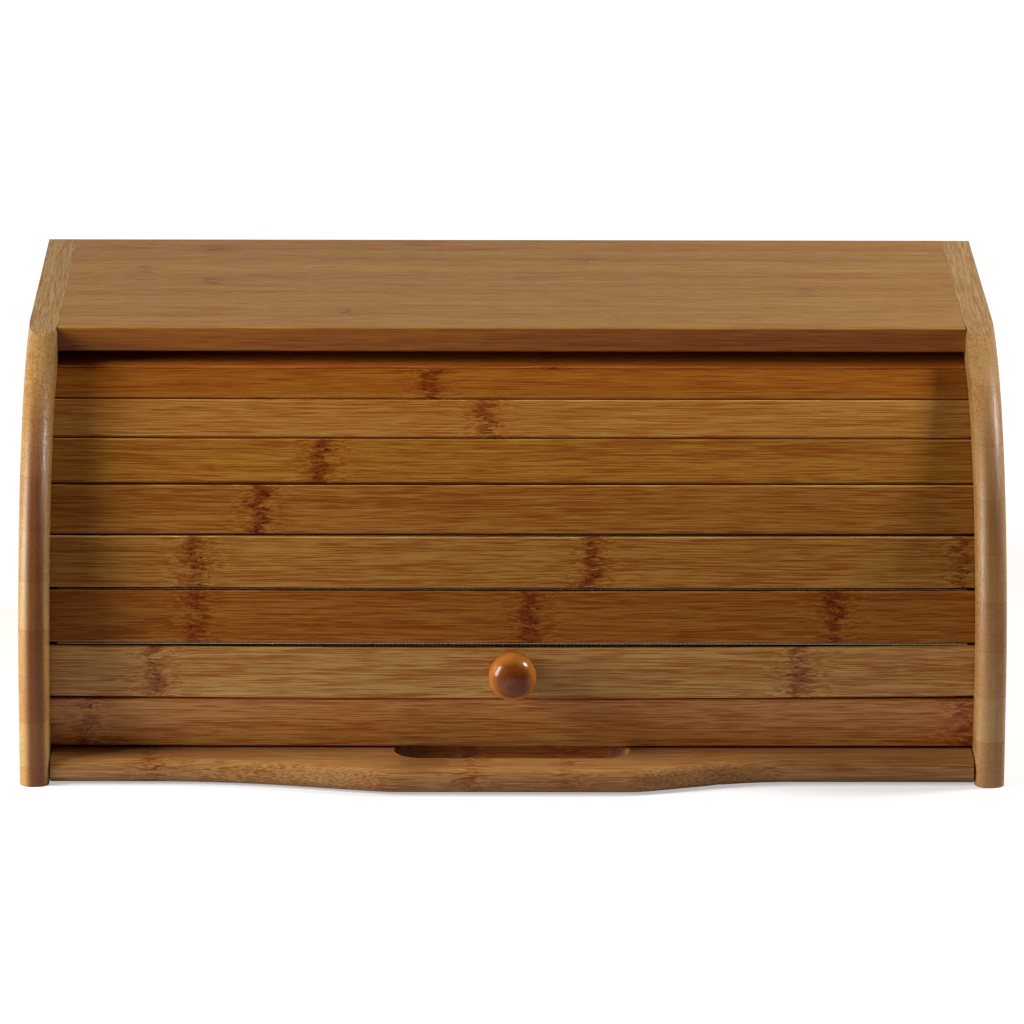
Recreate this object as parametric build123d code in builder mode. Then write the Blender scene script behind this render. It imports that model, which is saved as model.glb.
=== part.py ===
"""Roll-top bread box in bamboo, with a shallow crumb drawer under its slatted floor.

Frame: +Z up, +X to the right, the front towards -Y, in millimetres.  The origin is under the
middle of the whole box, on the surface that it stands on.
"""
from build123d import *
import os
from math import asin, atan, cos, degrees, radians, sin, sqrt

os.makedirs("parts", exist_ok=True)

# Case
case_width = 400.0            # over both side panels
panel_thickness = 12.0
panel_round = 5.2             # round-over on the side panels' front edges
board_thickness = 10.0        # top board and back panel
board_ease = 0.8              # eased front edges of the top board
glue_gap = 0.05               # around each dowel, and at the ends of each board

# Roll door and its track, a ring about one centre
roll_height = 38.0            # centre of the track above the table
roll_radius = 115.0           # centre of the track to the outer face of each slat
slat_thickness = 6.0
slat_width = 21.4             # across the face
slat_bevel = 0.8              # each long edge leans in by this much towards the canvas
slat_gap = 1.0                # between the outer edges of two slats
slat_ease = 0.7
slat_count = 10
door_foot_gap = 0.5           # from the drawer up to the sagged foot of the door
door_travel_deg = 69.0        # the knob then stops just short of the top board
tongue_length = 5.0           # what each end of a slat has in its track
track_depth = 5.5
track_clearance = 0.4
track_stop_deg = 0.16         # free angle left at each end of the track
slat_sags = (0.35, 1.3, 0.5, 0.4, 0.12, 0.15, 0.1, 0.15, 0.1, 0.1)    # drop at mid length
slat_tilts = (0.0, 0.3, 0.0, 0.0, 0.5, 0.0, 0.0, 0.0, 0.0, 0.0)       # right end up, in all
canvas_thickness = 0.5
canvas_inset = 3.0            # from the side panels to the canvas

# How the boards lie round the track
track_cover = 2.1             # wood between the track and the top board
front_cover = 17.6            # wood in front of the track, on the panels' level centre line
rear_gap = 10.6               # from the track to the back panel
top_board_lead = 27.2         # the top board's front edge, ahead of the track's centre

# Slatted floor, its slats spread evenly from the door to the back panel
floor_slat_count = 10
floor_slat_thickness = 6.0
floor_slat_gap = 4.0
floor_play = 2.6              # from the drawer up to the floor slats
floor_front_gap = 3.4         # from the canvas to the first floor slat
floor_end_gap = 3.0           # from the last floor slat to the back panel
housing_depth = 3.0           # how far each floor slat enters the side panels

# Knob on the second slat
knob_slat = 1                 # counted from 0 at the foot of the door
knob_radius = 9.7
knob_rim_at = 10.3            # the knob's widest place, where its half-round front begins
knob_base_radius = 6.2
knob_neck_radius = 5.4
knob_neck_at = 3.0
knob_bore_depth = 11.0
screw_radius = 1.9
screw_head_radius = 3.6
screw_head_height = 2.2
screw_bore_radius = 1.96
screw_clear_radius = 2.2
washer_radius = 4.6
washer_thickness = 0.8

# Crumb drawer
drawer_lift = 0.6             # above the table
drawer_height = 9.8
drawer_side_gap = 0.5         # to each side panel
drawer_end_setback = 3.0      # front edge of the drawer's straight ends behind the panels' edge
drawer_bow = 14.4             # how far its middle stands in front of its ends
bow_half_width = 52.0         # half of the straight stretch in the middle
shoulder_left = 118.0         # where the left shoulder would meet the straight end
shoulder_right = 97.0
shoulder_left_radius = 260.0
shoulder_right_radius = 110.0
bow_radius = 40.0
drawer_round = 4.0            # round-over along the drawer's front edge
pull_length = 95.0            # finger slot
pull_width = 22.0
pull_land = 19.0              # wood in front of the finger slot
pull_back_land = 4.4          # wood behind it
pull_ease = 0.8
tray_back_gap = 10.0          # from the drawer to the back panel
rail_width = 12.0
tray_back_rail = 10.0
tray_bottom_thickness = 2.6
runner_width = 6.0
runner_height = 3.2
runner_play = 0.3             # between a runner and its groove, on each side
runner_end_gap = 2.0          # from the drawer's front to the runners' front end

# Dowels
dowel_radius = 3.0
dowel_in_panel = 6.8
dowel_in_board = 17.2
dowel_relief = 0.3            # space left past each end of a dowel
top_dowels = (0.1, 0.5, 0.88)       # along the top board, as shares of its depth
back_dowels = (0.15, 0.5, 0.85)     # up the back panel, as shares of its height
pin_radius = 1.5              # small dowels in the drawer
pin_length = 12.0
pin_in_wall = 4.0

# Worked out from the sizes above
inner_x = case_width / 2 - panel_thickness
corner_radius = sqrt(roll_radius ** 2 + (slat_width / 2) ** 2)
track_outer = corner_radius + track_clearance
track_inner = roll_radius - slat_thickness - track_clearance
roll_setback = track_outer + front_cover
case_depth = roll_setback + track_outer + rear_gap + board_thickness
underside_z = roll_height + track_outer + track_cover
case_height = underside_z + board_thickness
bow_proud = drawer_bow - drawer_end_setback
front_y = (bow_proud - case_depth) / 2
back_y = front_y + case_depth
roll_y = front_y + roll_setback
roll_centre = (roll_y, roll_height)
drawer_half_width = inner_x - drawer_side_gap
drawer_top = drawer_lift + drawer_height
slat_step_deg = 2 * degrees(atan((slat_width + slat_gap) / 2 / roll_radius))
slat_half_deg = degrees(atan(slat_width / 2 / roll_radius))
foot_edge_z = drawer_top + door_foot_gap + slat_sags[0]
foot_edge_deg = degrees(asin((foot_edge_z - roll_height) / corner_radius))
door_foot_deg = foot_edge_deg + slat_half_deg - slat_step_deg / 2
door_top_deg = door_foot_deg + slat_count * slat_step_deg
slat_back_radius = roll_radius - slat_thickness
canvas_radius = slat_back_radius - canvas_thickness
drawer_ends_y = front_y + drawer_end_setback
bow_y = drawer_ends_y - drawer_bow
drawer_front_back_y = bow_y + pull_land + pull_width + pull_back_land
tray_back_y = back_y - board_thickness - tray_back_gap
rail_inner_x = drawer_half_width - rail_width
runner_z = drawer_lift + drawer_height / 2
groove_depth = runner_width - drawer_side_gap + runner_play
wall_x = drawer_half_width - (rail_width + groove_depth) / 2
floor_z = drawer_top + floor_play
floor_front_y = roll_y - canvas_radius * cos(radians(door_foot_deg)) + floor_front_gap
floor_back_y = back_y - board_thickness - floor_end_gap
floor_slat_step = (floor_back_y - floor_front_y + floor_slat_gap) / floor_slat_count
floor_slat_width = floor_slat_step - floor_slat_gap
sides = (("left", -1), ("right", 1))


def across(x):
    """Upright plane across the box at x: its own x runs back and its own y runs up."""
    return Plane.YZ.offset(x)


def round_point(radius, angle):
    """Point beside the track's centre, angle degrees above the level that runs to the front."""
    return (roll_y - radius * cos(radians(angle)), roll_height + radius * sin(radians(angle)))


def slat_angle(number):
    """Angle of a slat's middle when the door is shut."""
    return door_foot_deg + (number + 0.5) * slat_step_deg


def outward(angle):
    """Direction from the track's centre out through the door."""
    return (0, -cos(radians(angle)), sin(radians(angle)))


def door_plane(radius, angle):
    """Plane square to the door's face: its own x runs right, its own y up the door."""
    y, z = round_point(radius, angle)
    return Plane(origin=(0, y, z), x_dir=(1, 0, 0), z_dir=outward(angle))


def finish(piece, name):
    """Label a finished piece and write it out."""
    piece.part.label = name
    export_step(piece.part, f"parts/{name}.step")


def top_dowel_points():
    """Dowels between a side panel and the top board, as points of an upright plane."""
    front = roll_y - top_board_lead
    height = underside_z + board_thickness / 2
    return [(front + share * (back_y - front), height) for share in top_dowels]


def back_dowel_points():
    """Dowels between a side panel and the back panel."""
    return [(back_y - board_thickness / 2, share * underside_z) for share in back_dowels]


# Side panels: front edge upright at the foot, then round about the track's centre to the flat top.
# Each has the door's track, a housing for the floor slats and blind bores for its dowels.
top_meets_deg = degrees(asin((case_height - roll_height) / roll_setback))
track_low_deg = door_foot_deg - track_stop_deg
track_high_deg = door_top_deg + door_travel_deg + track_stop_deg

for side, sign in sides:
    with BuildPart() as side_panel:
        with BuildSketch(across(sign * inner_x)):
            with BuildLine():
                foot = Line((front_y, 0), (front_y, roll_height))
                sweep_round = CenterArc(roll_centre, roll_setback, 180, -top_meets_deg)
                Polyline(sweep_round @ 1, (back_y, case_height), (back_y, 0), foot @ 0)
            make_face()
        extrude(amount=sign * panel_thickness)
        front_edges = side_panel.edges().filter_by(GeomType.CIRCLE)
        front_edges += side_panel.edges().filter_by(Axis.Z).sort_by(Axis.Y)[:2]
        fillet(front_edges, panel_round)
        with BuildSketch(across(sign * inner_x)):
            with BuildLine():
                outer = CenterArc(roll_centre, track_outer, 180 - track_high_deg,
                                  track_high_deg - track_low_deg)
                inner = CenterArc(roll_centre, track_inner, 180 - track_high_deg,
                                  track_high_deg - track_low_deg)
                Line(outer @ 0, inner @ 0)
                Line(outer @ 1, inner @ 1)
            make_face()
        extrude(amount=sign * track_depth, mode=Mode.SUBTRACT)
        with BuildSketch(across(sign * inner_x)):
            with Locations(((floor_front_y + floor_back_y) / 2, floor_z + floor_slat_thickness / 2)):
                Rectangle(floor_back_y - floor_front_y + 2 * glue_gap,
                          floor_slat_thickness + 2 * glue_gap)
        extrude(amount=sign * housing_depth, mode=Mode.SUBTRACT)
        with BuildSketch(across(sign * inner_x)):
            with Locations(*top_dowel_points(), *back_dowel_points()):
                Circle(dowel_radius + glue_gap)
        extrude(amount=sign * (dowel_in_panel + dowel_relief), mode=Mode.SUBTRACT)
    finish(side_panel, f"{side}_side_panel")


# Top board: between the panels, flush with their tops, its front edges eased.
board_half_width = inner_x - glue_gap
with BuildPart() as top_board:
    with BuildSketch(Plane.XY.offset(underside_z)):
        with Locations((0, (roll_y - top_board_lead + back_y) / 2)):
            Rectangle(2 * board_half_width, back_y - roll_y + top_board_lead)
    extrude(amount=board_thickness)
    fillet(top_board.edges().filter_by(Axis.X).group_by(Axis.Y)[0], board_ease)
    for side, sign in sides:
        with BuildSketch(across(sign * board_half_width)):
            with Locations(*top_dowel_points()):
                Circle(dowel_radius + glue_gap)
        extrude(amount=-sign * (dowel_in_board + dowel_relief), mode=Mode.SUBTRACT)
finish(top_board, "top_board")


# Back panel: between the side panels, from the table to the top board.
with BuildPart() as back_panel:
    with BuildSketch(Plane.XY):
        with Locations((0, back_y - board_thickness / 2)):
            Rectangle(2 * board_half_width, board_thickness)
    extrude(amount=underside_z - glue_gap)
    for side, sign in sides:
        with BuildSketch(across(sign * board_half_width)):
            with Locations(*back_dowel_points()):
                Circle(dowel_radius + glue_gap)
        extrude(amount=-sign * (dowel_in_board + dowel_relief), mode=Mode.SUBTRACT)
finish(back_panel, "back_panel")


# Case dowels: glued across the joints between the side panels and the two boards.
with BuildPart() as case_dowels:
    for side, sign in sides:
        with BuildSketch(across(sign * (inner_x + dowel_in_panel))):
            with Locations(*top_dowel_points(), *back_dowel_points()):
                Circle(dowel_radius)
        extrude(amount=-sign * (dowel_in_panel + dowel_in_board))
finish(case_dowels, "case_dowels")


# Floor slats: laid across the box with gaps that let crumbs through, ends in the panels' housings.
for number in range(floor_slat_count):
    middle_y = floor_front_y + number * floor_slat_step + floor_slat_width / 2
    with BuildPart() as floor_slat:
        with BuildSketch(Plane.XY.offset(floor_z)):
            with Locations((0, middle_y)):
                Rectangle(2 * (inner_x + housing_depth - glue_gap), floor_slat_width)
        extrude(amount=floor_slat_thickness)
        upper_edges = floor_slat.edges().filter_by(Axis.X).group_by(Axis.Z)[-1]
        fillet(upper_edges, board_ease)
    finish(floor_slat, f"floor_slat_{number + 1:02d}")


# Drawer runners: strips glued to the side panels, in the grooves of the drawer's rails.
runner_front_y = drawer_front_back_y + runner_end_gap
for side, sign in sides:
    with BuildPart() as runner:
        with BuildSketch(across(sign * inner_x)):
            with Locations(((runner_front_y + tray_back_y) / 2, runner_z)):
                Rectangle(tray_back_y - runner_front_y, runner_height)
        extrude(amount=-sign * runner_width)
    finish(runner, f"{side}_drawer_runner")


# Door slats: flat strips, each a little sagged or tilted, with a tongue in the track at each end.
# Their long edges are shallow arcs, and lean in a little towards the canvas.
half_length = inner_x + tongue_length
slat_layers = ((slat_back_radius, slat_width / 2 - slat_bevel), (roll_radius, slat_width / 2))
for number in range(slat_count):
    sag = slat_sags[number % len(slat_sags)]
    tilt = slat_tilts[number % len(slat_tilts)] / 2
    angle = slat_angle(number)
    with BuildPart() as door_slat:
        for radius, half_width in slat_layers:
            with BuildSketch(door_plane(radius, angle)):
                with BuildLine():
                    long_edges = [
                        ThreePointArc((-half_length, height - tilt), (0, height - sag),
                                      (half_length, height + tilt))
                        for height in (-half_width, half_width)]
                    Line(long_edges[0] @ 0, long_edges[1] @ 0)
                    Line(long_edges[0] @ 1, long_edges[1] @ 1)
                make_face()
        loft(ruled=True)
        face = door_slat.faces().sort_by(Axis((0, 0, 0), outward(angle)))[-1]
        fillet(face.edges().sort_by(SortBy.LENGTH)[-2:], slat_ease)
        if number == knob_slat:
            with BuildSketch(door_plane(roll_radius, angle)):
                Circle(screw_clear_radius)
            extrude(amount=-slat_thickness, mode=Mode.SUBTRACT)
    finish(door_slat, f"door_slat_{number + 1:02d}")


# Canvas: glued to the backs of all the slats, and folding between them.
half_step = radians(slat_step_deg / 2)
fold_angles = [door_foot_deg + number * slat_step_deg for number in range(slat_count + 1)]
canvas_half_width = inner_x - canvas_inset
with BuildPart() as canvas_backing:
    with BuildSketch(across(-canvas_half_width)):
        with BuildLine():
            glued = [round_point(slat_back_radius / cos(half_step), a) for a in fold_angles]
            inside = [round_point(canvas_radius / cos(half_step), a) for a in fold_angles]
            Polyline(*glued, *reversed(inside), close=True)
        make_face()
    extrude(amount=2 * canvas_half_width)
    with BuildSketch(door_plane(slat_back_radius, slat_angle(knob_slat))):
        Circle(screw_clear_radius)
    extrude(amount=-2 * canvas_thickness, mode=Mode.SUBTRACT)
finish(canvas_backing, "canvas_backing")


# Knob: turned, with a narrow neck, a round head and a blind bore for its screw.
knob_angle = slat_angle(knob_slat)
knob_face = door_plane(roll_radius, knob_angle)
knob_axis = Axis(knob_face.origin, outward(knob_angle))
turning_plane = Plane(origin=knob_face.origin, x_dir=outward(knob_angle), z_dir=(1, 0, 0))
knob_length = knob_rim_at + knob_radius
half_way = knob_radius * cos(radians(45))
with BuildPart() as knob:
    with BuildSketch(turning_plane):
        with BuildLine():
            base = Line((0, 0), (0, knob_base_radius))
            neck = ThreePointArc(base @ 1, (knob_neck_at / 2, knob_neck_radius + 0.3),
                                 (knob_neck_at, knob_neck_radius))
            back = Spline(neck @ 1, (knob_rim_at, knob_radius), tangents=((0.35, 1), (1, 0)))
            head = ThreePointArc(back @ 1, (knob_rim_at + half_way, half_way),
                                 (knob_length, 0))
            Line(head @ 1, base @ 0)
        make_face()
    revolve(axis=knob_axis)
    with BuildSketch(knob_face):
        Circle(screw_bore_radius)
    extrude(amount=knob_bore_depth, mode=Mode.SUBTRACT)
finish(knob, "knob")


# Knob washer and screw: from inside the door, through the canvas and the slat into the knob.
with BuildPart() as knob_washer:
    with BuildSketch(door_plane(canvas_radius, knob_angle)):
        Circle(washer_radius)
        Circle(screw_clear_radius, mode=Mode.SUBTRACT)
    extrude(amount=-washer_thickness)
finish(knob_washer, "knob_washer")

head_seat_radius = canvas_radius - washer_thickness
screw_reach = roll_radius + knob_bore_depth - dowel_relief - head_seat_radius
with BuildPart() as knob_screw:
    with BuildSketch(door_plane(head_seat_radius, knob_angle)):
        Circle(screw_head_radius)
    extrude(amount=-screw_head_height)
    fillet(knob_screw.edges().sort_by(knob_axis)[0], screw_head_height / 2)
    with BuildSketch(door_plane(head_seat_radius, knob_angle)):
        Circle(screw_radius)
    extrude(amount=screw_reach)
    chamfer(knob_screw.edges().sort_by(knob_axis)[-1], screw_radius / 2)
finish(knob_screw, "knob_screw")


# Drawer front: bowed board with a rounded front edge and a finger slot cut right through.
with BuildPart() as drawer_front:
    with BuildSketch(Plane.XY.offset(drawer_lift)) as front_outline:
        with BuildLine():
            Polyline((-drawer_half_width, drawer_ends_y), (-shoulder_left, drawer_ends_y),
                     (-bow_half_width, bow_y), (bow_half_width, bow_y),
                     (shoulder_right, drawer_ends_y), (drawer_half_width, drawer_ends_y),
                     (drawer_half_width, drawer_front_back_y),
                     (-drawer_half_width, drawer_front_back_y), close=True)
        make_face()
        corners = front_outline.vertices().group_by(Axis.Y)
        fillet(corners[0], bow_radius)
        bends = front_outline.vertices().filter_by_position(
            Axis.Y, drawer_ends_y - 0.01, drawer_ends_y + 0.01).sort_by(Axis.X)
        fillet(bends[1], shoulder_left_radius)
        bends = front_outline.vertices().filter_by_position(
            Axis.Y, drawer_ends_y - 0.01, drawer_ends_y + 0.01).sort_by(Axis.X)
        fillet(bends[-2], shoulder_right_radius)
    extrude(amount=drawer_height)
    side_edges = drawer_front.edges().filter_by(Plane.XY)
    front_edges = side_edges.filter_by(lambda e: e.center().Y < drawer_ends_y + 0.01)
    fillet(front_edges, drawer_round)
    with BuildSketch(Plane.XY.offset(drawer_lift)):
        with Locations((0, bow_y + pull_land + pull_width / 2)):
            SlotOverall(pull_length, pull_width)
    extrude(amount=drawer_height, mode=Mode.SUBTRACT)
    top_face = drawer_front.faces().sort_by(Axis.Z)[-1]
    fillet(top_face.inner_wires()[0].edges(), pull_ease)
    with BuildSketch(Plane.XZ.offset(-drawer_front_back_y)):
        with Locations((-wall_x, runner_z), (wall_x, runner_z)):
            Circle(pin_radius + glue_gap)
    extrude(amount=pin_length / 2 + dowel_relief, mode=Mode.SUBTRACT)
finish(drawer_front, "drawer_front")


# Drawer side rails: grooved along the outside for the runners.
back_pin_y = tray_back_y - tray_back_rail / 2
for side, sign in sides:
    with BuildPart() as rail:
        with BuildSketch(across(sign * drawer_half_width)):
            with Locations(((drawer_front_back_y + tray_back_y) / 2, runner_z)):
                Rectangle(tray_back_y - drawer_front_back_y, drawer_height)
        extrude(amount=-sign * rail_width)
        with BuildSketch(across(sign * drawer_half_width)):
            with Locations(((drawer_front_back_y + tray_back_y) / 2, runner_z)):
                Rectangle(tray_back_y - drawer_front_back_y, runner_height + 2 * runner_play)
        extrude(amount=-sign * groove_depth, mode=Mode.SUBTRACT)
        with BuildSketch(Plane.XZ.offset(-drawer_front_back_y)):
            with Locations((sign * wall_x, runner_z)):
                Circle(pin_radius + glue_gap)
        extrude(amount=-(pin_length / 2 + dowel_relief), mode=Mode.SUBTRACT)
        with BuildSketch(across(sign * rail_inner_x)):
            with Locations((back_pin_y, runner_z)):
                Circle(pin_radius + glue_gap)
        extrude(amount=sign * (pin_in_wall + dowel_relief), mode=Mode.SUBTRACT)
    finish(rail, f"drawer_{side}_rail")


# Drawer back rail: between the side rails.
rail_end_x = rail_inner_x - glue_gap
with BuildPart() as drawer_back_rail:
    with BuildSketch(Plane.XY.offset(drawer_lift)):
        with Locations((0, back_pin_y)):
            Rectangle(2 * rail_end_x, tray_back_rail)
    extrude(amount=drawer_height)
    for side, sign in sides:
        with BuildSketch(across(sign * rail_end_x)):
            with Locations((back_pin_y, runner_z)):
                Circle(pin_radius + glue_gap)
        extrude(amount=-sign * (pin_length - pin_in_wall + dowel_relief), mode=Mode.SUBTRACT)
finish(drawer_back_rail, "drawer_back_rail")


# Drawer bottom: thin panel glued between the front and the three rails.
with BuildPart() as drawer_bottom:
    with BuildSketch(Plane.XY.offset(drawer_lift)):
        with Locations((0, (drawer_front_back_y + tray_back_y - tray_back_rail) / 2)):
            Rectangle(2 * rail_end_x,
                      tray_back_y - tray_back_rail - drawer_front_back_y - 2 * glue_gap)
    extrude(amount=tray_bottom_thickness)
finish(drawer_bottom, "drawer_bottom")


# Drawer pins: small dowels from the rails into the front and into the back rail.
with BuildPart() as drawer_pins:
    for side, sign in sides:
        with BuildSketch(Plane.XZ.offset(-drawer_front_back_y - pin_length / 2)):
            with Locations((sign * wall_x, runner_z)):
                Circle(pin_radius)
        extrude(amount=pin_length)
        with BuildSketch(across(sign * (rail_inner_x + pin_in_wall))):
            with Locations((back_pin_y, runner_z)):
                Circle(pin_radius)
        extrude(amount=-sign * pin_length)
finish(drawer_pins, "drawer_pins")
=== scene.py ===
"""Roll-top bread box in carbonised bamboo, with a shallow crumb drawer: finish and studio.

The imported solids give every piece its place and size.  This script gives them their bamboo,
lacquer, cloth and metal, and sets the box on a pale floor in soft light.
"""
from math import cos, pi, radians, sin

import bpy
import numpy as np
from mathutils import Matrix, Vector


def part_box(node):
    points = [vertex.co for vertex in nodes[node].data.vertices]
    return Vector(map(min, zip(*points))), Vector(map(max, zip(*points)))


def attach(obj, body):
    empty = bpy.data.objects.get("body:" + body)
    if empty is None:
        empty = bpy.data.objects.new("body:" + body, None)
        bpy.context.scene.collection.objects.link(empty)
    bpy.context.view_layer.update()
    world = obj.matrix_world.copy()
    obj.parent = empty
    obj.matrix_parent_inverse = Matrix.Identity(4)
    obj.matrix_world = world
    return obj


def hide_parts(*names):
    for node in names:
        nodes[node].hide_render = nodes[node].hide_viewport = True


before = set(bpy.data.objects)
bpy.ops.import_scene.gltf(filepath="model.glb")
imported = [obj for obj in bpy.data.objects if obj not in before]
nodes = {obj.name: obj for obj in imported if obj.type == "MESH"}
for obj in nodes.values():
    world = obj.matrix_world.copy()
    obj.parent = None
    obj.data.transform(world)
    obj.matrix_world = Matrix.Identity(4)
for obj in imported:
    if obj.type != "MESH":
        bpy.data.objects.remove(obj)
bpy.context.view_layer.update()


# ---------------------------------------------------------------------------------------------
# Camera: a long lens in front of the box, looking 15 degrees down, a hair to the left of the
# middle and not quite level, as the photograph was taken.
MM = 0.001
camera_pitch = radians(15.0)
camera_turn = radians(0.446)
camera_roll = radians(0.20)
camera_side = -0.5 * MM
camera_height = 886.7 * MM
camera_distance = 2877.0 * MM       # in front of the panels' edges
panel_front_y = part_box("left_side_panel")[0].y

camera_data = bpy.data.cameras.new("camera")
camera_data.lens = 260.7
camera_data.sensor_width = 36.0
camera_data.clip_end = 50.0
camera = bpy.data.objects.new("camera", camera_data)
camera.location = (camera_side - camera_distance * sin(camera_turn),
                   panel_front_y - camera_distance * cos(camera_turn), camera_height)
look = Vector((sin(camera_turn) * cos(camera_pitch), cos(camera_turn) * cos(camera_pitch),
               -sin(camera_pitch)))
camera.rotation_euler = look.to_track_quat("-Z", "Y").to_euler()
camera.rotation_euler.rotate_axis("Z", camera_roll)
bpy.context.scene.collection.objects.link(camera)
bpy.context.scene.camera = camera
bpy.context.scene.view_settings.view_transform = "Standard"


# ---------------------------------------------------------------------------------------------
# Studio: a wide white sweep in a dim room, a tall soft light to the left and a smaller, higher
# one to the right.  The sweep and the room are white to the eye, and keep the box's shadow.
def fresh_tree(owner):
    """Empty node tree of a material or a world."""
    owner.use_nodes = True
    owner.node_tree.nodes.clear()
    return owner.node_tree


def add(tree, kind, inputs=None, **settings):
    """Add a node of that kind, set its properties, and set or link its inputs."""
    node = tree.nodes.new(kind)
    for name, setting in settings.items():
        setattr(node, name, setting)
    for key, item in (inputs or {}).items():
        if isinstance(item, bpy.types.NodeSocket):
            tree.links.new(item, node.inputs[key])
        else:
            node.inputs[key].default_value = item
    return node


def calc(tree, operation, first, second=0.0, third=0.0, clamp=False):
    """Output of a Math node."""
    return add(tree, "ShaderNodeMath", {0: first, 1: second, 2: third}, operation=operation,
               use_clamp=clamp).outputs[0]


def ramp(tree, fac, low, high, low_out=0.0, high_out=1.0):
    """Smooth step of fac from low to high."""
    return add(tree, "ShaderNodeMapRange", {"Value": fac, "From Min": low, "From Max": high,
                                            "To Min": low_out, "To Max": high_out},
               interpolation_type="SMOOTHSTEP").outputs["Result"]


def ray_is(tree, *kinds):
    """1 for a ray of one of these kinds, such as Is Camera Ray, and 0 for the rest."""
    rays = add(tree, "ShaderNodeLightPath").outputs
    seen = rays[kinds[0]]
    for kind in kinds[1:]:
        seen = calc(tree, "MAXIMUM", seen, rays[kind])
    return seen


sweep_reach = 9.0
sweep_grey = 0.64
near_glow, far_glow = 0.43, 1.0
glow_near_radius, glow_far_radius = 0.30, 1.3
glow_mirrored = 0.15                # of the glow, as the lacquer shows it
sweep_mesh = bpy.data.meshes.new("sweep")
sweep_mesh.from_pydata([(-sweep_reach, -sweep_reach, 0), (sweep_reach, -sweep_reach, 0),
                        (sweep_reach, sweep_reach, 0), (-sweep_reach, sweep_reach, 0)], [],
                       [(0, 1, 2, 3)])
sweep = bpy.data.objects.new("sweep", sweep_mesh)
bpy.context.scene.collection.objects.link(sweep)
sweep_paint = bpy.data.materials.new("sweep_white")
tree = fresh_tree(sweep_paint)
spot = add(tree, "ShaderNodeTexCoord").outputs["Object"]
radius = add(tree, "ShaderNodeVectorMath", {0: spot}, operation="LENGTH").outputs["Value"]
glow = ramp(tree, radius, glow_near_radius, glow_far_radius, near_glow, far_glow)
mirrored = calc(tree, "MULTIPLY", ray_is(tree, "Is Glossy Ray"), glow_mirrored)
seen = calc(tree, "MAXIMUM", mirrored, ray_is(tree, "Is Camera Ray", "Is Transmission Ray"))
glow = calc(tree, "MULTIPLY", glow, seen)
paint = add(tree, "ShaderNodeBsdfDiffuse", {"Color": (sweep_grey,) * 3 + (1,)})
lit = add(tree, "ShaderNodeEmission", {"Strength": glow})
both = add(tree, "ShaderNodeAddShader", {0: paint.outputs[0], 1: lit.outputs[0]})
add(tree, "ShaderNodeOutputMaterial", {"Surface": both.outputs[0]})
sweep_mesh.materials.append(sweep_paint)

warm_fill = (0.090, 0.068, 0.052)       # the little light of the room, off wooden things
white_below, dim_above = 0.02, 0.20     # height of a mirrored ray's direction
dim_before, white_behind = -0.2, 0.2    # and how far back it points
world = bpy.data.worlds.new("room")
bpy.context.scene.world = world
tree = fresh_tree(world)
aim = add(tree, "ShaderNodeTexCoord").outputs["Generated"]
aims = add(tree, "ShaderNodeSeparateXYZ", {0: aim}).outputs
mirrored = calc(tree, "MULTIPLY", ramp(tree, aims["Z"], dim_above, white_below),
                ramp(tree, aims["Y"], dim_before, white_behind))
mirrored = calc(tree, "MULTIPLY", mirrored, ray_is(tree, "Is Glossy Ray"))
seen = calc(tree, "MAXIMUM", mirrored, ray_is(tree, "Is Camera Ray", "Is Transmission Ray"))
sky = add(tree, "ShaderNodeMix", {0: seen, 6: warm_fill + (1,), 7: (1, 1, 1, 1)},
          data_type="RGBA").outputs[2]
sky = add(tree, "ShaderNodeBackground", {"Color": sky})
add(tree, "ShaderNodeOutputWorld", {"Surface": sky.outputs[0]})


box_middle = Vector((0, 0, 0.08))


def soft_light(name, azimuth, elevation, distance, width, height, level):
    """Area light that faces the box from azimuth degrees right of the front and that far up.
    level is what a white sheet that faces it from the box's place would show."""
    light = bpy.data.lights.new(name, "AREA")
    light.shape = "RECTANGLE"
    light.size = width
    light.size_y = height
    light.energy = level * pi ** 2 * distance ** 2
    lamp = bpy.data.objects.new(name, light)
    around, up = radians(azimuth), radians(elevation)
    place = Vector((sin(around) * cos(up), -cos(around) * cos(up), sin(up))) * distance
    lamp.location = place + box_middle
    lamp.rotation_euler = (-place).to_track_quat("-Z", "Y").to_euler()
    bpy.context.scene.collection.objects.link(lamp)


soft_light("left_softbox", azimuth=-72, elevation=21, distance=1.15, width=0.46, height=0.72,
           level=1.40)
soft_light("right_softbox", azimuth=95, elevation=42, distance=1.15, width=0.27, height=0.25,
           level=0.86)


# ---------------------------------------------------------------------------------------------
# Side panels: two bamboo boards, glued up from strips, their grain from front to back.  Their
# edges are rounded over, so the curved front shows the cut ends of the fibres as dots.
def new_group(name, sockets_in, sockets_out):
    """Shader node group with these inputs and outputs, given as (name, kind) pairs."""
    group = bpy.data.node_groups.new(name, "ShaderNodeTree")
    for label, kind in sockets_in:
        group.interface.new_socket(label, in_out="INPUT", socket_type=kind)
    for label, kind in sockets_out:
        group.interface.new_socket(label, in_out="OUTPUT", socket_type=kind)
    return group, group.nodes.new("NodeGroupInput").outputs, group.nodes.new("NodeGroupOutput")


FLOAT, COLOUR, VECTOR = "NodeSocketFloat", "NodeSocketColor", "NodeSocketVector"


def vector_calc(tree, operation, first, second):
    """Vector output of a Vector Math node; a scaling takes a number as second."""
    key = "Scale" if operation == "SCALE" else 1
    return add(tree, "ShaderNodeVectorMath", {0: first, key: second},
               operation=operation).outputs[0]


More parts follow.
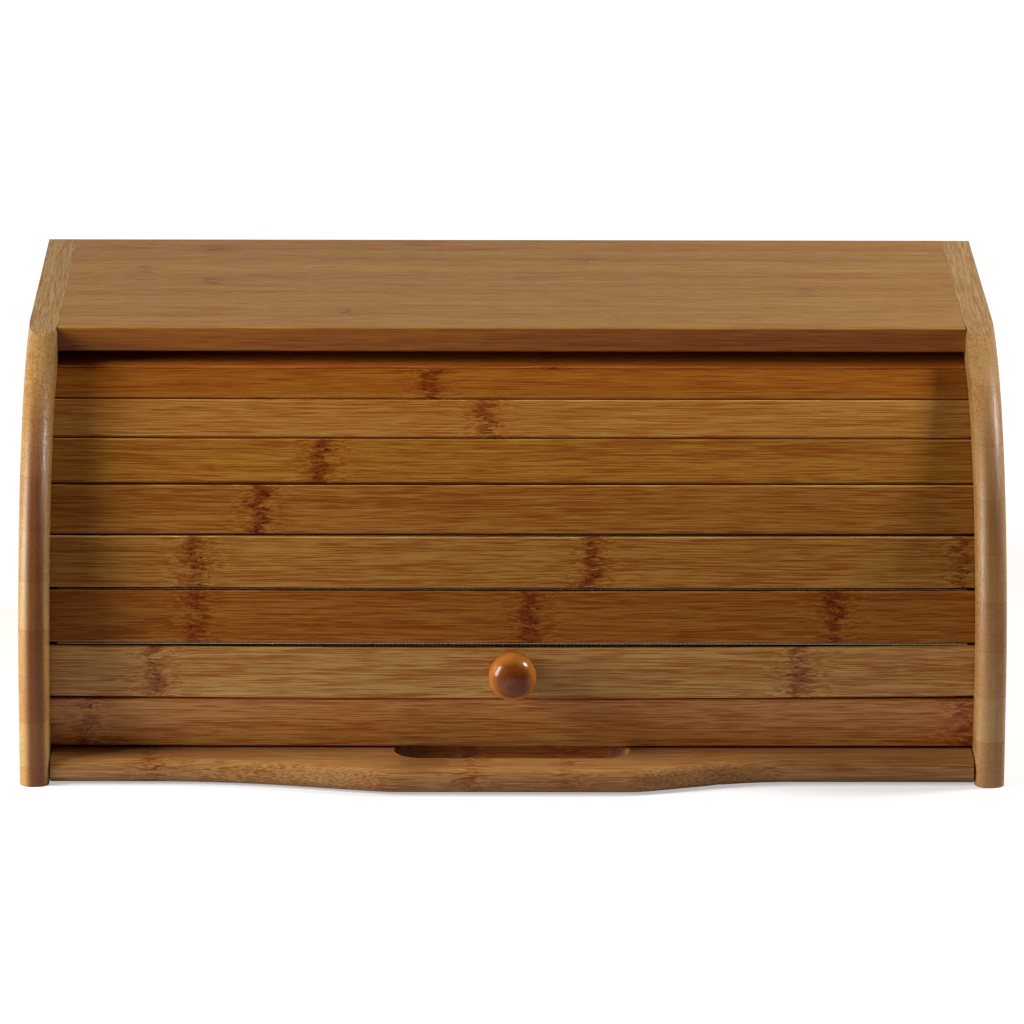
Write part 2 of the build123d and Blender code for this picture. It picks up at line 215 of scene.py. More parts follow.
def noise(tree, grain, along, across, detail=2.0, roughness=0.5, output="Fac"):
    """Noise with that many waves per mm along the grain (x) and across it (y and z)."""
    place = vector_calc(tree, "MULTIPLY", grain, (along, across, across))
    return add(tree, "ShaderNodeTexNoise", {"Vector": place, "Scale": 1.0, "Detail": detail,
                                            "Roughness": roughness}).outputs[output]


def blend(tree, fac, first, second, mode="MIX"):
    """Colour mixed from first to second by fac."""
    return add(tree, "ShaderNodeMix", {0: fac, 6: first, 7: second}, data_type="RGBA",
               blend_type=mode, clamp_factor=True).outputs[2]


# Growth node: where a leaf sheath sat, a ragged core in a wider zone of broken fibres.  Zone
# and core fade out between these shares of the node's width.
ragged_by = 14.0                    # in mm, how much its edge strays in all
zone_fade, core_fade = (3.4, 0.9), (1.15, 0.25)
side_fade = 1.5                     # in mm
growth_node, given, out = new_group(
    "growth_node",
    [("Grain", VECTOR), ("Place", FLOAT), ("Width", FLOAT), ("Strength", FLOAT),
     ("Middle", FLOAT), ("Reach", FLOAT)],
    [("Zone", FLOAT), ("Core", FLOAT)])
tree = growth_node
ragged = calc(tree, "MULTIPLY_ADD", noise(tree, given["Grain"], along=0.05, across=0.30),
              ragged_by, -ragged_by / 2)
axes = add(tree, "ShaderNodeSeparateXYZ", {0: given["Grain"]}).outputs
away = calc(tree, "SUBTRACT", calc(tree, "ADD", axes["X"], ragged), given["Place"])
share = calc(tree, "DIVIDE", calc(tree, "ABSOLUTE", away), given["Width"])
aside = calc(tree, "ABSOLUTE", calc(tree, "SUBTRACT", axes["Y"], given["Middle"]))
within = ramp(tree, calc(tree, "SUBTRACT", aside, given["Reach"]), side_fade, -side_fade)
within = calc(tree, "MULTIPLY", within, given["Strength"])
tree.links.new(calc(tree, "MULTIPLY", ramp(tree, share, *zone_fade), within),
               out.inputs["Zone"])
tree.links.new(calc(tree, "MULTIPLY", ramp(tree, share, *core_fade), within),
               out.inputs["Core"])

# Strips: boards are glued up from strips side by side, each with its own tone.
strips, given, out = new_group(
    "glued_strips", [("Across", FLOAT), ("Width", FLOAT), ("Offset", FLOAT)],
    [("Tone", FLOAT), ("Joint", FLOAT)])
tree = strips
turns = calc(tree, "DIVIDE", calc(tree, "ADD", given["Across"], given["Offset"]),
             given["Width"])
own = add(tree, "ShaderNodeTexWhiteNoise", {"W": calc(tree, "FLOOR", turns)},
          noise_dimensions="1D").outputs["Value"]
edge = calc(tree, "ABSOLUTE", calc(tree, "SUBTRACT", calc(tree, "FRACT", turns), 0.5))
edge = calc(tree, "MULTIPLY", calc(tree, "SUBTRACT", 0.5, edge), given["Width"])
tree.links.new(calc(tree, "SUBTRACT", own, 0.5), out.inputs["Tone"])
tree.links.new(ramp(tree, edge, 0.25, 0.05), out.inputs["Joint"])

# Bamboo: yellowish tissue with straight red-brown fibres, which break into dashes and dark
# specks at a growth node, and bundles whose cut ends are dots.
bamboo, given, out = new_group(
    "bamboo",
    [("Grain", VECTOR), ("Mean", COLOUR), ("Contrast", FLOAT), ("Bands", FLOAT),
     ("Cut", FLOAT), ("Matt", FLOAT), ("Tone", FLOAT), ("Zone", FLOAT), ("Core", FLOAT)],
    [("Color", COLOUR), ("Roughness", FLOAT), ("Height", FLOAT)])
tree = bamboo
wander_by, swirl_by = 3.0, 2.4      # in mm, how far fibres stray anywhere and at a growth node
bundles_across = 1.25               # to the mm
grain = given["Grain"]
wander = calc(tree, "MULTIPLY_ADD", noise(tree, grain, along=0.006, across=0.04, detail=1.0),
              wander_by, -wander_by / 2)
bend = add(tree, "ShaderNodeCombineXYZ", {1: wander, 2: wander}).outputs[0]
swirl = vector_calc(tree, "SUBTRACT", noise(tree, grain, along=0.16, across=0.35,
                                             output="Color"), (0.5, 0.5, 0.5))
swirl = vector_calc(tree, "SCALE", swirl, calc(tree, "MULTIPLY", given["Zone"], swirl_by))
grain = vector_calc(tree, "ADD", vector_calc(tree, "ADD", grain, bend), swirl)
lines = ramp(tree, noise(tree, grain, along=0.018, across=2.6), 0.38, 0.62)
streaks = ramp(tree, noise(tree, grain, along=0.060, across=2.9), 0.40, 0.62)
dashes = ramp(tree, noise(tree, grain, along=0.15, across=2.3, roughness=0.6), 0.40, 0.60)
hairs = noise(tree, grain, along=0.09, across=5.0)
fibres = noise(tree, grain, along=0.02, across=0.7)
bands = noise(tree, grain, along=0.0022, across=0.14)
specks = ramp(tree, noise(tree, grain, along=0.42, across=1.10), 0.57, 0.66)
blotches = noise(tree, grain, along=0.15, across=0.85)
cells = vector_calc(tree, "MULTIPLY", grain, (0.009, bundles_across, bundles_across))
cells = add(tree, "ShaderNodeTexVoronoi", {"Vector": cells, "Scale": 1.0,
                                           "Randomness": 1.0}).outputs
bundle = ramp(tree, cells["Distance"], 0.36, 0.14)
chosen = add(tree, "ShaderNodeSeparateColor", {0: cells["Color"]}).outputs["Red"]
bundle = calc(tree, "MULTIPLY", bundle, ramp(tree, chosen, 0.2, 0.7))
bundle = calc(tree, "MULTIPLY", bundle, ramp(tree, given["Cut"], 0.08, 0.5, 0.1, 1.0))
broken = add(tree, "ShaderNodeMix", {0: given["Zone"], 2: streaks, 3: dashes}).outputs[0]
depth = 0.0                         # from pale tissue to dark fibre
for pattern, middle, weight in ((lines, 0.475, 0.80), (broken, 0.47, 0.95),
                                (hairs, 0.5, 2.0), (fibres, 0.5, 0.70)):
    depth = calc(tree, "MULTIPLY_ADD", calc(tree, "SUBTRACT", pattern, middle), weight, depth)
depth = calc(tree, "MULTIPLY", depth, given["Contrast"])
depth = calc(tree, "MULTIPLY", depth, ramp(tree, given["Cut"], 0.3, 0.9, 1.0, 0.35))
spread = calc(tree, "MULTIPLY", calc(tree, "SUBTRACT", bands, 0.5), given["Bands"])
depth = calc(tree, "MULTIPLY_ADD", spread, 1.2, depth)
depth = calc(tree, "ADD", depth, given["Tone"])
near = calc(tree, "MULTIPLY_ADD", given["Zone"], 0.15, -0.61)
near = calc(tree, "MULTIPLY_ADD", given["Core"], 0.08, near)
stained = ramp(tree, calc(tree, "ADD", blotches, near), 0.0, 0.10)
stained = calc(tree, "MULTIPLY", stained, given["Zone"])
depth = calc(tree, "MULTIPLY_ADD", stained, 0.45, depth)
depth = calc(tree, "ADD", depth, 0.45, clamp=True)
pale_tint = (1.20, 1.38, 1.60, 1)
dark_tint = (0.74, 0.44, 0.22, 1)
bundle_tint = (0.55, 0.38, 0.25, 1)
stain_tint = (0.62, 0.42, 0.42, 1)
speck_tint = (0.28, 0.18, 0.12, 1)
tone = blend(tree, depth, blend(tree, 1.0, given["Mean"], pale_tint, "MULTIPLY"),
             blend(tree, 1.0, given["Mean"], dark_tint, "MULTIPLY"))
tone = blend(tree, calc(tree, "MULTIPLY", bundle, 0.8), tone, bundle_tint, "MULTIPLY")
tone = blend(tree, calc(tree, "MULTIPLY", stained, given["Core"]), tone, stain_tint, "MULTIPLY")
tone = blend(tree, calc(tree, "MULTIPLY", specks, given["Core"]), tone, speck_tint, "MULTIPLY")
relief = calc(tree, "MULTIPLY_ADD", broken, -0.4, 0.4)
relief = calc(tree, "SUBTRACT", relief, calc(tree, "MULTIPLY", bundle, 0.6))
tree.links.new(tone, out.inputs["Color"])
tree.links.new(calc(tree, "MULTIPLY_ADD", broken, 0.12, given["Matt"]),
               out.inputs["Roughness"])
tree.links.new(relief, out.inputs["Height"])


RIGHT, BACK, UP = (1, 0, 0), (0, 1, 0), (0, 0, 1)
grain_along_y = (0, 0, radians(90))
right_across = (0.0, 1000.0)        # middle and reach of a growth node as wide as its piece
growth_node_width = 5.0             # in mm, from its middle to where its core ends
strip_joint_depth = 0.35
cut_start, cut_full = 0.62, 0.95    # how squarely a face cuts the fibres
fibre_relief = 0.2 * MM


def component(tree, vector, direction):
    """Component of the vector in that direction."""
    return add(tree, "ShaderNodeVectorMath", {0: vector, 1: direction},
               operation="DOT_PRODUCT").outputs["Value"]


def bamboo_material(name, mean, growth_nodes=(), turn=(0, 0, 0), shift=(0, 0, 0),
                    contrast=1.2, bands=1.0, strip=None, strip_contrast=0.5, relief=0.25,
                    gloss=0.25, matt=0.22, cut_tint=(0.9, 0.85, 0.8), touches=()):
    """Lacquered bamboo of that mean colour.  growth_nodes are (place along the grain, strength)
    or (place, strength, middle, reach) with the last two across it, all in mm.  turn brings the
    grain to the x axis, shift moves the pattern so that no two pieces match, and strip is the
    (direction across, width, offset) of glued strips.  contrast, bands and relief scale the
    fibres, the broad bands and the bump, gloss is the specular level and matt the roughness.
    cut_tint falls on the places where the fibres are cut across.  Each of touches is a mask, a
    function of the tree, the place in mm and the facing, with the tint that falls where it
    gives 1."""
    material = bpy.data.materials.new(name)
    tree = fresh_tree(material)
    surface = add(tree, "ShaderNodeTexCoord").outputs
    facing = surface["Normal"]
    here = vector_calc(tree, "SCALE", surface["Object"], 1 / MM)
    grain = add(tree, "ShaderNodeMapping", {"Vector": here, "Rotation": turn}).outputs[0]
    moved = vector_calc(tree, "ADD", grain, shift)
    cut = component(tree, facing, BACK if turn == grain_along_y else RIGHT)
    cut = calc(tree, "ABSOLUTE", cut)
    tone, zones, cores = 0.0, 0.0, 0.0
    if strip:
        across, width, offset = strip
        glued = add(tree, "ShaderNodeGroup", {"Across": component(tree, here, across),
                                              "Width": width, "Offset": offset},
                    node_tree=strips).outputs
        tone = calc(tree, "MULTIPLY", glued["Tone"], strip_contrast)
        tone = calc(tree, "MULTIPLY_ADD", glued["Joint"], strip_joint_depth, tone)
    for place, strength, *rest in growth_nodes:
        middle, reach = rest or right_across
        band = add(tree, "ShaderNodeGroup", {
            "Grain": moved, "Place": place + shift[0], "Width": growth_node_width,
            "Strength": strength, "Middle": middle + shift[1], "Reach": reach},
            node_tree=growth_node).outputs
        zones = calc(tree, "MAXIMUM", zones, band["Zone"])
        cores = calc(tree, "MAXIMUM", cores, band["Core"])
    wood = add(tree, "ShaderNodeGroup", {
        "Grain": moved, "Mean": mean + (1,), "Contrast": contrast, "Bands": bands, "Cut": cut,
        "Matt": matt, "Tone": tone, "Zone": zones, "Core": cores}, node_tree=bamboo).outputs
    colour = blend(tree, ramp(tree, cut, cut_start, cut_full), wood["Color"], cut_tint + (1,),
                   "MULTIPLY")
    for mask, tint in touches:
        colour = blend(tree, mask(tree, here, facing), colour, tint + (1,), "MULTIPLY")
    bump = add(tree, "ShaderNodeBump", {"Height": wood["Height"], "Strength": relief,
                                        "Distance": fibre_relief})
    shader = add(tree, "ShaderNodeBsdfPrincipled", {
        "Base Color": colour, "Roughness": wood["Roughness"], "Specular IOR Level": gloss,
        "Normal": bump.outputs[0]})
    add(tree, "ShaderNodeOutputMaterial", {"Surface": shader.outputs[0]})
    return material


def dress(node, material):
    """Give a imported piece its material."""
    slots = nodes[node].data.materials
    slots.clear()
    slots.append(material)


foot_top, foot_full = 80.0, 45.0    # in mm


def panel_foot(tree, here, facing):
    """Mask of a panel's foot, growing downwards from its top, where painted bounce light from
    the floor falls.
    """
    return ramp(tree, component(tree, here, UP), foot_top, foot_full)


def end_grain_shade(start, full, low, high):
    """Mask of painted shade on the cut ends, on the side that turns away from the left light,
    over the end grain's own darker tone.  It grows as they face from start to full to the
    right, and above low up to high, in mm, or at any height where they face well to the right.
    It fades again on the ends that face right away."""
    def mask(tree, here, facing):
        rightward = component(tree, facing, RIGHT)
        forward = calc(tree, "ABSOLUTE", component(tree, facing, BACK))
        end_shade = calc(tree, "MAXIMUM", ramp(tree, component(tree, here, UP), low, high),
                      ramp(tree, rightward, 0.2, 0.9))
        for share in (ramp(tree, rightward, start, full), ramp(tree, rightward, 1.3, 0.5),
                      ramp(tree, forward, 0.40, 0.85)):
            end_shade = calc(tree, "MULTIPLY", end_shade, share)
        return end_shade
    return mask


panel_strip_width = 19.0
# Cut ends that turn to the right are darkened with painted shade, over the end grain's own
# darker tone.
# Each panel's foot is tinted with painted bounce light from the floor.
for side, offset, mean, foot_bounce_light, end_shade, end_shade_tint in (
        ("left", 11.0, (0.37, 0.212, 0.064), (1.25, 1.25, 1.2),
         end_grain_shade(start=-0.6, full=0.0, low=-40, high=-20), (0.40, 0.21, 0.065)),
        ("right", 57.0, (0.38, 0.213, 0.070), (1.03, 0.98, 0.98),
         end_grain_shade(start=-0.6, full=0.1, low=60, high=115), (0.58, 0.47, 0.27))):
    dress(f"{side}_side_panel", bamboo_material(
        f"{side}_panel_bamboo", mean, turn=grain_along_y,
        shift=(offset, 2 * offset, 3 * offset), contrast=0.8, bands=0.3,
        strip=(UP, panel_strip_width, offset), strip_contrast=0.4, relief=0.6, gloss=0.42,
        matt=0.24, cut_tint=(1, 1, 1),
        touches=[(panel_foot, foot_bounce_light), (end_shade, end_shade_tint)]))


# ---------------------------------------------------------------------------------------------
# Top board and back panel: edge-glued bamboo strips, the grain across the box, dowelled
# between the side panels.
board_bamboo = (0.323, 0.150, 0.024)
board_edge_tint = (0.78, 0.52, 0.28)
board_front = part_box("top_board")[0].y / MM
board_strip_width = 20.6
board_nodes = [(-126, 0.7, 123, 8), (-155, 0.7, 83, 8), (-126, 0.7, 62, 7), (-68, 0.5, 6, 8),
               (-37, 0.6, 135, 7), (32, 0.6, 101, 8), (126, 0.6, 42, 8), (33, 0.5, 24, 7)]


def front_face(start, full):
    """Mask of what faces forward, growing from start to full, both in mm along y."""
    def mask(tree, here, facing):
        there = ramp(tree, component(tree, here, BACK), start, full)
        forward = ramp(tree, component(tree, facing, BACK), -0.4, -0.8)
        return calc(tree, "MULTIPLY", there, forward)
    return mask


dress("top_board", bamboo_material(
    "top_board_bamboo", board_bamboo, board_nodes, contrast=0.6, bands=0.7,
    strip=(BACK, board_strip_width, 3.0), strip_contrast=0.2,
    touches=[(front_face(board_front + 1.0, board_front + 0.3), board_edge_tint)]))
dress("back_panel", bamboo_material(
    "back_panel_bamboo", board_bamboo, [(-120, 0.5, 60, 12), (60, 0.6, 105, 12),
                                        (20, 0.6, 30, 12)],
    turn=(radians(90), 0, 0), shift=(31, 71, 13), contrast=0.7,
    strip=(UP, board_strip_width, 7.0), strip_contrast=0.35))


# ---------------------------------------------------------------------------------------------
# Roll door: ten bamboo slats with eased edges.  Along their upper edges runs a painted
# highlight from the third slat up, and painted shade on the two below; along every lower edge
# runs a pale painted highlight.  Each was sawn from another strip, so each has its own tone and
# its own growth nodes, given from the foot of the door up.
slat_bamboo = [
    ((0.432, 0.178, 0.0400), [(-173, 0.8), (184, 0.9)]),
    ((0.385, 0.188, 0.0429), [(-145, 0.9), (-1, 0.4), (117, 0.9)]),
    ((0.245, 0.084, 0.0106), [(-129, 0.8), (7, 0.9), (131, 0.9)]),
    ((0.267, 0.114, 0.0202), [(-129, 0.9), (32, 1.0), (182, 0.8)]),
    ((0.231, 0.088, 0.0132), [(-103, 1.0)]),
    ((0.240, 0.096, 0.0111), [(-78, 1.0)]),
    ((0.276, 0.118, 0.0200), [(-10, 0.9)]),
    ((0.222, 0.071, 0.0068), [(-33, 1.0)]),
    # the ninth slat's tone is lifted as painted light in the shade under the top board
    ((0.340, 0.100, 0.0128), [(16, 0.6)]),
    ((0.220, 0.070, 0.0100), [(-60, 0.6)]),
]
roll_centre_y, roll_centre_z = 4.2 * MM, 38.0 * MM
door_foot = radians(-13.69)
slat_step = radians(11.125)
slat_half_width = 10.7              # in mm, as the pattern is
upper_edge_reach, lower_edge_reach, edge_full_reach = 1.3, 2.0, 0.4   # in from the edge, in mm
# Tints of the painted edge light: a pale pinkish highlight under every slat, and along the
# upper edges shade on the two lowest slats and a highlight from the third up.
lower_edge_highlight = (1.12, 1.12, 1.35)
upper_edge_light_shade = [(0.68, 0.54, 0.40), (0.72, 0.66, 0.52), (1.3, 1.4, 1.6), (1.8, 2.3, 3.1)]


def edge_highlight_shade(side, angle, reach):
    """Mask of the painted highlight and shade along the upper long edge, where side is 1, or
    the lower one, where it is -1, of the slat at that angle round the roll.  The painted tone
    begins at reach from the edge, in mm."""
    upwards = (0, sin(angle), cos(angle))
    middle = (roll_centre_y * sin(angle) + roll_centre_z * cos(angle)) / MM

    def mask(tree, here, facing):
        from_middle = calc(tree, "SUBTRACT", component(tree, here, upwards), middle)
        return ramp(tree, calc(tree, "MULTIPLY", from_middle, side), slat_half_width - reach,
                    slat_half_width - edge_full_reach)
    return mask


for number, (mean, growth_nodes) in enumerate(slat_bamboo):
    angle = door_foot + (number + 0.5) * slat_step
    upper_light_shade = upper_edge_light_shade[min(number, len(upper_edge_light_shade) - 1)]
    dress(f"door_slat_{number + 1:02d}", bamboo_material(
        f"slat_{number + 1:02d}_bamboo", mean, growth_nodes,
        shift=(137.0 * number, 23.0 * number, 11.0 * number),
        touches=[(edge_highlight_shade(1, angle, upper_edge_reach), upper_light_shade),
                 (edge_highlight_shade(-1, angle, lower_edge_reach), lower_edge_highlight)]))


# ---------------------------------------------------------------------------------------------
# Canvas: a dark woven cloth glued to the backs of the slats, folding at every joint.  It shows
# as a beaded line where a fold of it is squeezed between two slats.
canvas_half_width = 185.0 * MM
slat_back_radius = 109.0 * MM
canvas_thickness = 0.5 * MM
slat_count = 10
fold_heights = np.array([0, 0.3, 5.7, 4.4, 4.0, 2.5, 2.5, 2.5, 2.5, 0.8, 0]) * MM
fold_half_width = 0.020             # in slats
weave_columns = 120
thread_pitch = 0.9 * MM
thread_shade, thread_light = (0.14, 0.115, 0.07, 1), (0.80, 0.70, 0.47, 1)


def canvas_surface(u, v, thickness_share):
    """Point of the cloth at u, from 0 to 1 across the box, and v, in slats from the foot: it
    lies flat on each slat's back, so its radius is the back's radius over the cosine of the
    angle from that slat's middle, less the share of the cloth's thickness.  At a joint it
    rises by the height of that fold, times one less the fourth power of the distance from
    the joint in half widths of the fold."""
    angle = door_foot + v * slat_step
    from_middle = (v - np.floor(np.minimum(v, slat_count - 1e-6)) - 0.5) * slat_step
    radius = (slat_back_radius - thickness_share * canvas_thickness) / np.cos(from_middle)
    joint = np.round(v).astype(int)
    rise = np.clip(1 - ((v - joint) / fold_half_width) ** 4, 0, 1)
    radius = radius + fold_heights[joint] * rise
    return np.stack([(2 * u - 1) * canvas_half_width, roll_centre_y - radius * np.cos(angle),
                     roll_centre_z + radius * np.sin(angle)], axis=-1)


def skin_mesh(name, outer, inner):
    """Mesh of a thin sheet from two grids of points: the outer skin, the inner skin turned
    round, and a rim of quads along the four edges."""
    rows, columns = outer.shape[:2]
    index = np.arange(rows * columns).reshape(rows, columns)
    quads = np.stack([index[:-1, :-1], index[:-1, 1:], index[1:, 1:], index[1:, :-1]],
                     axis=-1).reshape(-1, 4)
    border = np.concatenate([index[0, :], index[1:, -1], index[-1, -2::-1],
                             index[-2:0:-1, 0]])
    after = np.roll(border, -1)
    rim = np.stack([after, border, border + index.size, after + index.size], axis=-1)
    faces = np.concatenate([quads, quads[:, ::-1] + index.size, rim])
    mesh = bpy.data.meshes.new(name)
    points = np.concatenate([outer.reshape(-1, 3), inner.reshape(-1, 3)])
    mesh.from_pydata(points, [], faces)
    mesh.update()
    return mesh


fold_lines = np.array([-1, -0.8, -0.4, 0, 0.4, 0.8, 1]) * fold_half_width
slat_lines = np.concatenate([fold_lines, [0.25, 0.5, 0.75]])
cloth_lines = (np.arange(slat_count)[:, None] + slat_lines).ravel()
cloth_lines = np.append(cloth_lines[cloth_lines >= 0], slat_count)
across_share, along_slats = np.meshgrid(np.linspace(0, 1, weave_columns + 1), cloth_lines)
canvas_mesh = skin_mesh("canvas_cloth", canvas_surface(across_share, along_slats, 0.0),
                        canvas_surface(across_share, along_slats, 1.0))
flat_width = 2 * canvas_half_width
mid_line = canvas_surface(np.zeros_like(cloth_lines), cloth_lines, 0.5)
run = np.concatenate([[0], np.cumsum(np.linalg.norm(np.diff(mid_line, axis=0), axis=1))])
cloth_uv = np.stack([across_share * flat_width,
                     np.broadcast_to(run[:, None], across_share.shape)], axis=-1).reshape(-1, 2)
cloth_uv = np.concatenate([cloth_uv, cloth_uv])     # for the outer and the inner skin
corners = np.empty(len(canvas_mesh.loops), dtype=np.int32)
canvas_mesh.loops.foreach_get("vertex_index", corners)
canvas_mesh.uv_layers.new(name="weave").data.foreach_set("uv", cloth_uv[corners].ravel())
canvas = bpy.data.objects.new("canvas_cloth", canvas_mesh)
bpy.context.scene.collection.objects.link(canvas)

canvas_cloth = bpy.data.materials.new("canvas_weave")
tree = fresh_tree(canvas_cloth)
cloth = add(tree, "ShaderNodeUVMap", uv_map="weave").outputs[0]
threads = vector_calc(tree, "SCALE", cloth, pi / thread_pitch)
axes = add(tree, "ShaderNodeSeparateXYZ", {0: threads}).outputs
warp = calc(tree, "SINE", axes["X"])
weft = calc(tree, "SINE", axes["Y"])
over = calc(tree, "MULTIPLY", warp, weft)
knots = calc(tree, "MULTIPLY", calc(tree, "ABSOLUTE", warp), calc(tree, "ABSOLUTE", weft))
height = calc(tree, "MULTIPLY_ADD", over, 0.3, knots)
# Painted light on the crossings of the threads and painted shade in the hollows between them.
shade = ramp(tree, height, 0.15, 0.95)
colour = blend(tree, shade, thread_shade, thread_light)
bump = add(tree, "ShaderNodeBump", {"Height": height, "Strength": 0.8, "Distance": 0.0003})
shader = add(tree, "ShaderNodeBsdfPrincipled", {"Base Color": colour, "Roughness": 0.85,
                                                "Normal": bump.outputs[0]})
add(tree, "ShaderNodeOutputMaterial", {"Surface": shader.outputs[0]})
canvas_mesh.materials.append(canvas_cloth)
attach(canvas, "roll_door")
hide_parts("canvas_backing")


# ---------------------------------------------------------------------------------------------
# Knob, washer and screw: a knob turned in a close-grained wood with a high gloss, its grain
# along its axis, held from inside by a steel screw and its washer.
knob_angle = door_foot + 1.5 * slat_step
knob_foot = 115.0 * MM              # from the roll's centre, on the second slat's face
knob_profile = {"bore": 1.96 * MM, "bore_depth": 11.0 * MM, "base": 6.2 * MM,
                "neck": 5.4 * MM, "neck_at": 3.0 * MM, "rim": 9.7 * MM, "rim_at": 10.6 * MM,
                "length": 19.7 * MM}
knob_fullness = 2.4                 # 2 is an ellipse
knob_steps, knob_turns = 24, 96
# the rim's tone carries painted light and the face's tone painted shade, over the end grain's
# darker tone
knob_lit_rim_wood, knob_shaded_face_wood = (0.44, 0.150, 0.022, 1), (0.140, 0.026, 0.003, 1)


def turned_knob(steps):
    """Profile as distances along the axis and from it: the blind bore, the flat base, a hollow
    neck in a quarter wave, the head's back in a quarter ellipse, and its front in a quarter
    superellipse, whose two shares raised to knob_fullness add up to one."""
    size = knob_profile
    t = np.linspace(0, pi / 2, steps)
    bore = np.array([[size["bore_depth"], 0], [size["bore_depth"], size["bore"]],
                     [0, size["bore"]], [0, size["base"]]])
    neck = np.stack([size["neck_at"] * t / (pi / 2),
                     size["neck"] + (size["base"] - size["neck"]) * (1 - np.sin(t))], axis=-1)
    back = np.stack([size["rim_at"] - (size["rim_at"] - size["neck_at"]) * np.cos(t),
                     size["neck"] + (size["rim"] - size["neck"]) * np.sin(t)], axis=-1)
    power = 2 / knob_fullness
    front = np.stack([size["rim_at"] + (size["length"] - size["rim_at"]) * np.sin(t) ** power,
                      size["rim"] * np.maximum(np.cos(t), 0) ** power], axis=-1)
    return np.concatenate([bore, neck[1:], back[1:], front[1:]])


def revolved(name, profile, origin, axis, turns):
    """Mesh of a profile turned about an axis: each point is the origin plus its distance along
    the axis, plus its distance from it round the circle.  Both of its ends lie on the axis."""
    axis = np.array(axis) / np.linalg.norm(axis)
    first = np.cross(axis, (1.0, 0.0, 0.0))
    second = np.cross(axis, first)
    turn = np.arange(turns) * 2 * pi / turns
    ring = np.cos(turn)[:, None] * first + np.sin(turn)[:, None] * second
    inner = profile[1:-1]
    points = origin + inner[:, None, :1] * axis + inner[:, None, 1:] * ring
    ends = origin + profile[[0, -1], :1] * axis
    index = np.arange(len(inner) * turns).reshape(len(inner), turns)
    after = np.roll(index, -1, axis=1)
    quads = np.stack([index[:-1], after[:-1], after[1:], index[1:]], axis=-1).reshape(-1, 4)
    start, stop = index.size, index.size + 1
    caps = [(start, b, a) for a, b in zip(index[0], after[0])]
    caps += [(stop, a, b) for a, b in zip(index[-1], after[-1])]
    mesh = bpy.data.meshes.new(name)
    mesh.from_pydata(np.concatenate([points.reshape(-1, 3), ends]), [],
                     quads.tolist() + caps)
    mesh.shade_smooth()
    mesh.update()
    return mesh


outward = (0.0, -cos(knob_angle), sin(knob_angle))
knob_origin = np.array([0.0, roll_centre_y, roll_centre_z]) + knob_foot * np.array(outward)
knob_mesh = revolved("turned_knob", turned_knob(knob_steps), knob_origin, outward,
                     knob_turns)
turned = bpy.data.objects.new("turned_knob", knob_mesh)
bpy.context.scene.collection.objects.link(turned)

knob_wood = bpy.data.materials.new("knob_gloss")
tree = fresh_tree(knob_wood)
surface = add(tree, "ShaderNodeTexCoord").outputs
here = vector_calc(tree, "SCALE", surface["Object"], 1 / MM)
facing = component(tree, surface["Normal"], outward)
growth = noise(tree, here, along=0.12, across=0.16, detail=3.0)
pores = noise(tree, here, along=1.2, across=1.8, roughness=0.6)
depth = calc(tree, "MULTIPLY_ADD", growth, 0.9, -0.45)
depth = calc(tree, "MULTIPLY_ADD", pores, 0.3, depth)
# The face that looks along the axis is darkened: the end grain's own darker tone with painted
# shade over it, and the rim left pale as painted light.
depth = calc(tree, "ADD", depth, ramp(tree, facing, 0.40, 1.0, 0.0, 0.85), clamp=True)
colour = blend(tree, depth, knob_lit_rim_wood, knob_shaded_face_wood)
bump = add(tree, "ShaderNodeBump", {"Height": pores, "Strength": 0.05, "Distance": 0.0001})
shader = add(tree, "ShaderNodeBsdfPrincipled", {
    "Base Color": colour, "Roughness": 0.25, "Specular IOR Level": 0.15,
    "Normal": bump.outputs[0], "Coat Weight": 0.34, "Coat Roughness": 0.10})
add(tree, "ShaderNodeOutputMaterial", {"Surface": shader.outputs[0]})
knob_mesh.materials.append(knob_wood)
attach(turned, "roll_door")
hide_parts("knob")

steel = bpy.data.materials.new("zinc_steel")
tree = fresh_tree(steel)
here = vector_calc(tree, "SCALE", add(tree, "ShaderNodeTexCoord").outputs["Object"], 1 / MM)
dull = noise(tree, here, along=0.8, across=0.8, detail=3.0, roughness=0.6)
colour = blend(tree, dull, (0.62, 0.62, 0.60, 1), (0.42, 0.42, 0.40, 1))
bump = add(tree, "ShaderNodeBump", {"Height": dull, "Strength": 0.1, "Distance": 0.0001})
shader = add(tree, "ShaderNodeBsdfPrincipled", {
    "Base Color": colour, "Metallic": 1.0, "Normal": bump.outputs[0],
    "Roughness": ramp(tree, dull, 0.2, 0.8, 0.25, 0.45)})
add(tree, "ShaderNodeOutputMaterial", {"Surface": shader.outputs[0]})
for name in ("knob_washer", "knob_screw"):
    dress(name, steel)


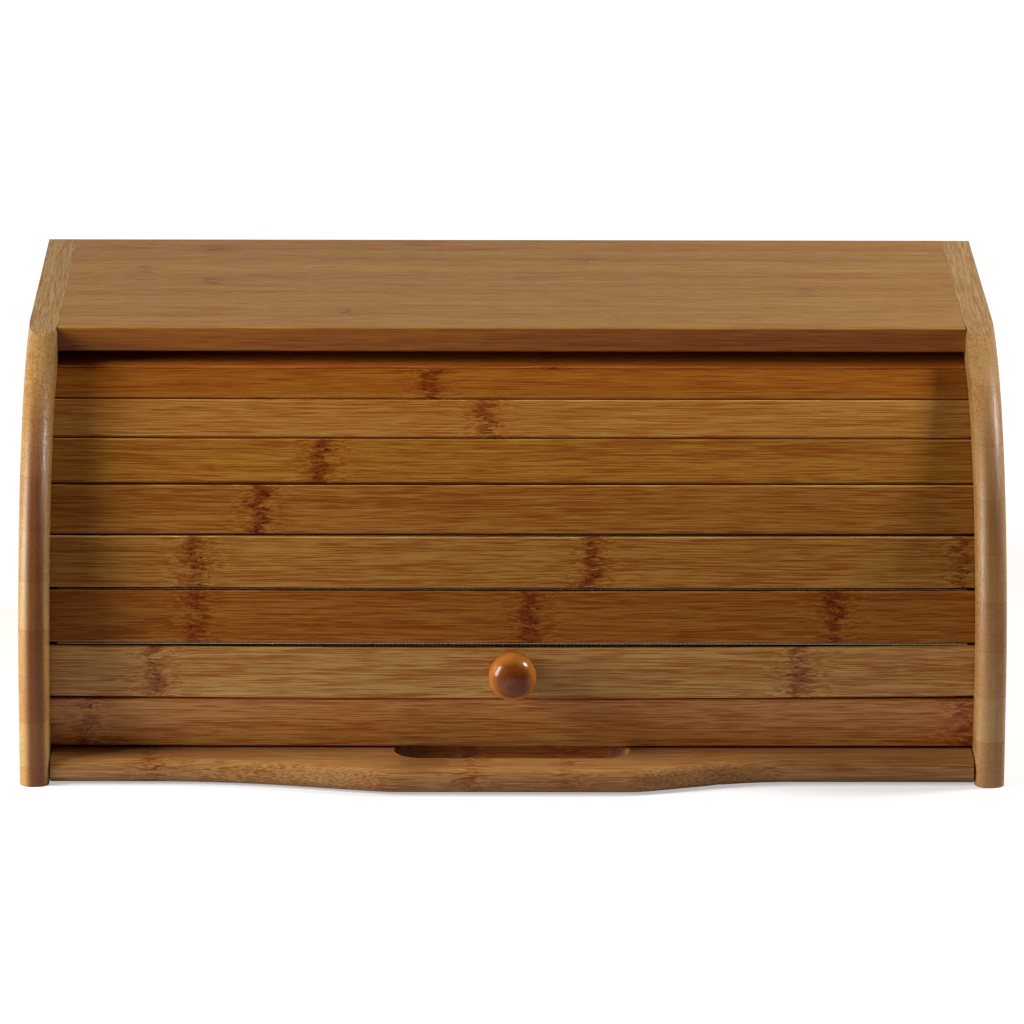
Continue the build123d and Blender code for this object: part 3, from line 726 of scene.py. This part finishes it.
# ---------------------------------------------------------------------------------------------
# Bread floor: ten loose-set bamboo slats over the drawer, with gaps for the crumbs to fall
# through, and the two runners that carry the drawer.
floor_bamboo = (0.30, 0.150, 0.045)
node_step, node_span = 61, 300      # in mm, from one slat to the next and in all
for number in range(10):
    growth_at = node_step * number % node_span - node_span / 2
    dress(f"floor_slat_{number + 1:02d}", bamboo_material(
        f"floor_slat_{number + 1:02d}_bamboo", floor_bamboo, [(growth_at, 0.8)],
        shift=(53.0 * number, 17.0 * number, 29.0 * number)))
for side in ("left", "right"):
    dress(f"{side}_drawer_runner", bamboo_material(f"{side}_runner_bamboo", floor_bamboo,
                                                   turn=grain_along_y))


# ---------------------------------------------------------------------------------------------
# Crumb drawer: a thick bamboo front with a finger slot, two rails, a back rail and a thin
# bottom, pinned together.
drawer_bamboo = (0.319, 0.151, 0.044)
slot_back_y = -100.0                # in mm
slot_wall_painted_light = (1.7, 1.25, 0.7)
# The slot's rear wall is lightened with painted light, and the front's cut ends, among them the
# slot's end walls, are lightened with painted light by cut_tint.
dress("drawer_front", bamboo_material(
    "drawer_front_bamboo", drawer_bamboo, [(-147, 0.8), (-17, 0.7), (23, 0.6)],
    shift=(9, 3, 1), contrast=0.9, cut_tint=(1.5, 1.4, 1.2),
    touches=[(front_face(slot_back_y - 1.0, slot_back_y), slot_wall_painted_light)]))
dress("drawer_back_rail", bamboo_material("drawer_back_bamboo", drawer_bamboo, [(40, 0.7)],
                                          shift=(59, 31, 11)))
dress("drawer_bottom", bamboo_material("drawer_bottom_bamboo", floor_bamboo, contrast=0.7,
                                       shift=(29, 3, 71), strip=(BACK, 24.0, 5.0)))
for side in ("left", "right"):
    dress(f"drawer_{side}_rail", bamboo_material(f"drawer_{side}_rail_bamboo", floor_bamboo,
                                                 turn=grain_along_y, shift=(5, 41, 7)))


# ---------------------------------------------------------------------------------------------
# Dowels and pins: short rods of pale wood, glued into the panels and the drawer's corners.
dowel_wood = bamboo_material("dowel_wood", (0.36, 0.20, 0.07), contrast=0.5)
for name in ("case_dowels", "drawer_pins"):
    dress(name, dowel_wood)
